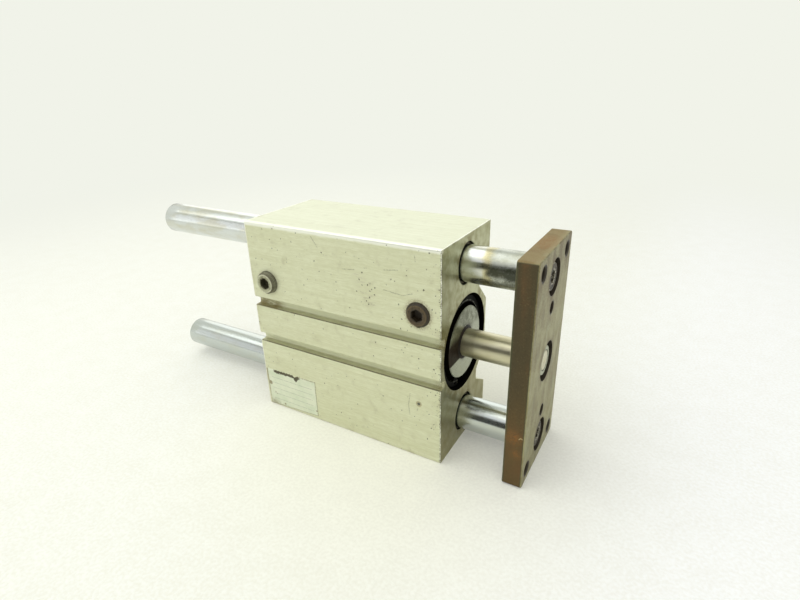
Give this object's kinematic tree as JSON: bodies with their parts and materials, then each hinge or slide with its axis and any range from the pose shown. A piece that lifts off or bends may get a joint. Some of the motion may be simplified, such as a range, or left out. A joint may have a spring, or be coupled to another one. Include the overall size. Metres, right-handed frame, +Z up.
{
  "type": "guided pneumatic cylinder",
  "caption": "Compact air cylinder in a tall extruded block, with guide rods above and below its piston rod and a rectangular tool plate across their ends.",
  "frame": {"origin": "centre of the narrow face that the block rests on", "axes": "+X along the rods, the way the tool plate moves out; -Y is the port side; +Z up the tall side of the block, from the lower guide rod to the upper"},
  "size_m": [0.3433, 0.0823, 0.156],
  "materials": {
    "anodised_body": "dull champagne anodised extrusion, fine grain along the rods",
    "cover_aluminium": "turned face, lightly polished",
    "black_rubber": "moulded nitrile",
    "wiper_rubber": "brown with old grease",
    "black_spring_steel": "black phosphate",
    "bush_bronze": "sintered bronze",
    "rusty_plug_steel": "brown rust film",
    "bare_plug_steel": "worn zinc",
    "piston_aluminium": "turned",
    "magnet_plastic": "plastic-bound magnet",
    "wear_ring_plastic": "filled acetal",
    "black_screw_steel": "black oxide, slightly rusty",
    "piston_rod_chrome": "hard chrome, yellowed",
    "guide_rod_chrome": "hard chrome, ground",
    "nut_steel": "turned, level with the worn plate",
    "rusty_plate_steel": "brown rust, front face worn to grey"
  },
  "bodies": {
    "cylinder": {"body_block": "anodised_body", "front_cover": "cover_aluminium", "front_cover_o_ring": "black_rubber", "front_retaining_ring": "black_spring_steel", "rod_wiper": "wiper_rubber", "rod_seal": "black_rubber", "rod_bush": "bush_bronze", "rear_cover": "cover_aluminium", "rear_cover_o_ring": "black_rubber", "rear_retaining_ring": "black_spring_steel", "guide_bushes_front": "bush_bronze", "guide_bushes_rear": "bush_bronze", "port_plug_front": "rusty_plug_steel", "port_plug_rear": "bare_plug_steel"},
    "slide_unit": {"tool_plate": "rusty_plate_steel", "guide_rod_upper": "guide_rod_chrome", "guide_rod_lower": "guide_rod_chrome", "guide_rod_screws": "black_screw_steel", "piston_rod": "piston_rod_chrome", "rod_end_nut": "nut_steel", "piston": "piston_aluminium", "piston_seal": "black_rubber", "piston_magnet": "magnet_plastic", "piston_wear_ring": "wear_ring_plastic", "piston_bumpers": "black_rubber", "piston_screw": "black_screw_steel", "piston_rod_o_ring": "black_rubber"}
  },
  "joints": [
    {"name": "stroke", "type": "slide", "parent": "cylinder", "child": "slide_unit", "axis": [1, 0, 0], "range_m": [-0.0333, 0.0667]}
  ]
}
